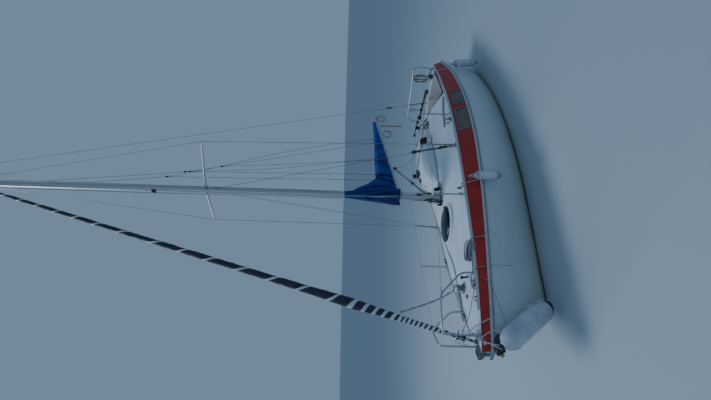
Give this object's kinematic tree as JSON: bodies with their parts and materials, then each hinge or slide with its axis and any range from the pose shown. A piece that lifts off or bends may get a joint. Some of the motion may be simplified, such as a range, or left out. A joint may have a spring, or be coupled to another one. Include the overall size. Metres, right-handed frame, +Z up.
{
  "type": "small sailing yacht, afloat, with a fractional rig and stowed sails",
  "caption": "Small sailing yacht with a raked stem, raised topsides band, fractional rig, furled headsail, boom under a cover, cockpit with tiller, fin keel and hung fenders.",
  "frame": {"origin": "on the centreline amidships, in the plane of the waterline that the yacht floats at", "axes": "+X to the bow, +Y to port, +Z up the mast"},
  "size_m": [7.2467, 2.3026, 11.286],
  "materials": {
    "gelcoat": "aged white gelcoat",
    "deck": "satin white gelcoat with a red band",
    "strake": "grey rubbing strake",
    "antifouling": "dull bottom paint",
    "smoked_glass": "smoked acrylic",
    "alloy": "anodised",
    "stainless": "polished tube",
    "galvanised": "dull grey",
    "wire": "laid wire",
    "canvas": "royal blue acrylic canvas",
    "sailcloth": "navy strip with white sailcloth",
    "wood": "varnished, worn",
    "black_metal": "black anodised",
    "black_plastic": "satin",
    "fender_vinyl": "white vinyl with blue ends"
  },
  "bodies": {
    "hull": {"hull_shell": "gelcoat", "fin_keel": "antifouling", "rubbing_strake": "strake", "deck_moulding": "deck", "window_fore_port": "smoked_glass", "window_fore_stbd": "smoked_glass", "window_aft_port": "smoked_glass", "window_aft_stbd": "smoked_glass", "fore_hatch_ring": "gelcoat", "hatch_runner_port": "wood", "hatch_runner_stbd": "wood", "washboards": "wood", "toe_rail_port": "alloy", "toe_rail_stbd": "alloy", "stem_fitting": "galvanised", "pulpit_port": "stainless", "pulpit_stbd": "stainless", "pushpit": "stainless", "stanchion_fore_port": "stainless", "stanchion_fore_stbd": "stainless", "stanchion_aft_port": "stainless", "stanchion_aft_stbd": "stainless", "mast_step": "galvanised", "mast": "alloy", "spreader_port": "alloy", "spreader_stbd": "alloy", "gooseneck_bracket": "stainless", "sail_cover_mast": "canvas", "forestay": "wire", "chainplate_port": "stainless", "chainplate_stbd": "stainless", "upper_shroud_port": "wire", "upper_shroud_stbd": "wire", "lower_shroud_port": "wire", "lower_shroud_stbd": "wire", "backstay_plate": "stainless", "backstay": "wire", "gudgeon_lower": "stainless", "gudgeon_upper": "stainless", "winch_halyard": "black_metal", "winch_stbd": "black_metal", "winch_port": "black_metal", "mooring_bitt": "stainless", "bow_cleat_port": "alloy", "bow_cleat_stbd": "alloy", "stern_cleat_port": "alloy", "stern_cleat_stbd": "alloy", "fender_port_mid": "fender_vinyl", "fender_port_quarter": "fender_vinyl", "fender_bow": "fender_vinyl"},
    "boom": {"boom": "alloy", "rigid_vang": "alloy", "sail_cover_boom": "canvas"},
    "rudder": {"rudder_blade": "gelcoat", "tiller": "wood", "tiller_extension": "black_plastic"},
    "foreHatch": {"fore_hatch_lid": "smoked_glass"},
    "slide": {"sliding_hatch": "gelcoat"},
    "furler": {"furling_drum": "black_plastic", "rolled_headsail": "sailcloth"}
  },
  "joints": [
    {"name": "boom_swing", "type": "hinge", "parent": "hull", "child": "boom", "pos_m": [0.215, 0, 1.9], "axis": [0, 0, 1], "range_deg": [-62, 62]},
    {"name": "rudder_turn", "type": "hinge", "parent": "hull", "child": "rudder", "pos_m": [-3.4465, 0, 0.4], "axis": [-0.0995, 0, 0.995], "range_deg": [-25, 25]},
    {"name": "fore_hatch_hinge", "type": "hinge", "parent": "hull", "child": "foreHatch", "pos_m": [1.292, 0, 1.2], "axis": [0, 1, 0], "range_deg": [0, 90]},
    {"name": "hatch_slide", "type": "slide", "parent": "hull", "child": "slide", "axis": [0.9907, 0, 0.1363], "range_m": [0, 0.43]},
    {"name": "furler_turn", "type": "hinge", "parent": "hull", "child": "furler", "pos_m": [3.254, 0, 1.152], "axis": [-0.3513, 0, 0.9363], "continuous": true}
  ]
}
